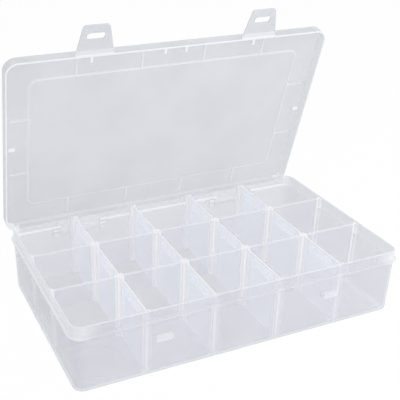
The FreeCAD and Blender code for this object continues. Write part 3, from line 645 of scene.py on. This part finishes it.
class BEADBOX_OT_film_hinges(bpy.types.Operator):
    """The thin webs that the latches fold on"""
    bl_idname = "beadbox.film_hinges"
    bl_label = "Film Hinges"

    def web(self, name, sizes, width):
        """A thin strip about the origin: X along the fold, Y across it, its lower face at z = 0."""
        bpy.ops.object.select_all(action="DESELECT")
        bpy.ops.mesh.primitive_grid_add(x_subdivisions=1, y_subdivisions=sizes.folds, size=1.0)
        piece = bpy.context.object
        piece.name = name
        piece.scale = (width, 2 * sizes.reach, 1.0)
        bpy.ops.object.transform_apply(location=False, rotation=False, scale=True)
        bpy.ops.object.mode_set(mode="EDIT")
        bpy.ops.mesh.select_all(action="SELECT")
        bpy.ops.mesh.extrude_region_move(TRANSFORM_OT_translate={"value": (0.0, 0.0, sizes.thickness)})
        bpy.ops.mesh.select_all(action="SELECT")
        bpy.ops.mesh.normals_make_consistent(inside=False)
        bpy.ops.object.mode_set(mode="OBJECT")
        return piece

    def execute(self, context):
        settings = context.scene.bead_box
        sizes = settings.film_hinges
        material = polypropylene("film_hinge_polypropylene", settings.plastic.latch, settings.plastic.lid_cover,
                                 latch_thick_places)
        turn = Matrix.Rotation(-LID_OPEN, 4, "X")
        for latch in LATCHES:
            low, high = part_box(latch)
            fold = fold_place(latch)
            piece = self.web(latch.replace("latch", "film_hinge"), sizes, high.x - low.x - 2 * sizes.inset)
            piece.data.transform(Matrix.Translation(fold) @ turn)
            piece.data.materials.append(material)
            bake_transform(piece)
        return {"FINISHED"}


class BEADBOX_OT_studio(bpy.types.Operator):
    """White floor, soft light and the camera"""
    bl_idname = "beadbox.studio"
    bl_label = "Studio"

    def seen_directly(self, tree):
        """1 for rays that see the background straight or in a gloss, 0 for those through the milky plastic."""
        rays = add_node(tree, "ShaderNodeLightPath", {}).node.outputs
        straight = add_node(tree, "ShaderNodeMath", {0: rays["Transparent Depth"], 1: NO_FACE_YET},
                            operation="LESS_THAN")
        seen = any_of(tree, rays["Is Camera Ray"], rays["Is Glossy Ray"], rays["Is Transmission Ray"])
        return all_of(tree, seen, straight)

    def floor(self, studio):
        """White studio paper: seen as plain white, and still dulled a little by the box's soft shadow."""
        bpy.ops.object.select_all(action="DESELECT")
        bpy.ops.mesh.primitive_plane_add(size=studio.floor_side)
        floor = bpy.context.object
        floor.name = "studio_floor"
        material = new_material("white_studio_paper")
        tree = material.node_tree
        paper = add_node(tree, "ShaderNodeBsdfDiffuse", {"Color": linear(studio.floor)})
        glow = add_node(tree, "ShaderNodeEmission", {"Color": WHITE, "Strength": 1.0})
        white = all_of(tree, self.seen_directly(tree), studio.floor_white)
        mix = add_node(tree, "ShaderNodeMixShader", {0: white, 1: paper, 2: glow})
        add_node(tree, "ShaderNodeOutputMaterial", {"Surface": mix})
        floor.data.materials.append(material)

    def world(self, studio):
        """Even pale light all round, and white where it is seen."""
        world = bpy.data.worlds.new("white_studio")
        bpy.context.scene.world = world
        world.use_nodes = True
        tree = world.node_tree
        tree.nodes.clear()
        strength = add_node(tree, "ShaderNodeMapRange", {"Value": self.seen_directly(tree),
                                                         "To Min": studio.sky_light, "To Max": 1.0})
        light = add_node(tree, "ShaderNodeBackground", {"Color": WHITE, "Strength": strength})
        add_node(tree, "ShaderNodeOutputWorld", {"Surface": light})

    def softbox(self, name, power, place, side):
        """A square area light aimed at the box."""
        lamp = bpy.data.lights.new(name, "AREA")
        lamp.energy = power
        lamp.size = side
        light = bpy.data.objects.new(name, lamp)
        bpy.context.scene.collection.objects.link(light)
        aim = (CAD_BOX[0] + CAD_BOX[1]) / 2
        light.location = place
        light.rotation_euler = (aim - place).to_track_quat("-Z", "Y").to_euler()

    def camera(self, studio):
        """The photograph's camera; the shift puts the lens axis where it meets the picture."""
        lens = bpy.data.cameras.new("photo_camera")
        lens.sensor_width = SENSOR_WIDTH
        lens.lens = SENSOR_WIDTH * studio.focal_px / PHOTO_SIDE
        lens.shift_x = 0.5 - studio.middle_px[0] / PHOTO_SIDE
        lens.shift_y = studio.middle_px[1] / PHOTO_SIDE - 0.5
        camera = bpy.data.objects.new("photo_camera", lens)
        bpy.context.scene.collection.objects.link(camera)
        camera.matrix_world = (Matrix.Translation(studio.camera_place) @ Matrix.Rotation(-studio.azimuth, 4, "Z")
                               @ Matrix.Rotation(RIGHT_ANGLE - studio.elevation, 4, "X")
                               @ Matrix.Rotation(studio.roll, 4, "Z"))
        bpy.context.scene.camera = camera

    def execute(self, context):
        studio = context.scene.bead_box.studio
        self.floor(studio)
        self.world(studio)
        self.softbox("softbox_overhead", studio.overhead_power, studio.overhead_place, studio.overhead_side)
        self.softbox("softbox_front_right", studio.front_power, studio.front_place, studio.front_side)
        self.softbox("softbox_left", studio.left_power, studio.left_place, studio.left_side)
        self.camera(studio)
        context.scene.view_settings.view_transform = "Standard"
        context.scene.cycles.transparent_max_bounces = FACES_SEEN_THROUGH
        return {"FINISHED"}


OPERATORS = (BEADBOX_OT_tray_finish, BEADBOX_OT_lid_finish, BEADBOX_OT_divider_finish, BEADBOX_OT_knurled_grips,
             BEADBOX_OT_film_hinges, BEADBOX_OT_studio)


class BEADBOX_PT_sidebar(bpy.types.Panel):
    """Lists the steps that dress the box"""
    bl_idname = "BEADBOX_PT_sidebar"
    bl_label = "Bead Storage Box"
    bl_space_type = "VIEW_3D"
    bl_region_type = "UI"
    bl_category = "Bead Box"

    def draw(self, context):
        for operator in OPERATORS:
            self.layout.operator(operator.bl_idname)


GROUPS = (PlasticFinish, BoxPlaces, Whitening, GripSizes, FilmHingeSizes, StudioSettings, BeadBoxSettings)
CLASSES = (*GROUPS, *OPERATORS, BEADBOX_PT_sidebar)


def register():
    for cls in CLASSES:
        bpy.utils.register_class(cls)
    bpy.types.Scene.bead_box = PointerProperty(type=BeadBoxSettings)


def unregister():
    del bpy.types.Scene.bead_box
    for cls in reversed(CLASSES):
        bpy.utils.unregister_class(cls)


def main():
    register()
    bpy.ops.beadbox.tray_finish()
    bpy.ops.beadbox.lid_finish()
    bpy.ops.beadbox.divider_finish()
    bpy.ops.beadbox.knurled_grips()
    bpy.ops.beadbox.film_hinges()
    bpy.ops.beadbox.studio()


if __name__ == "__main__":
    main()
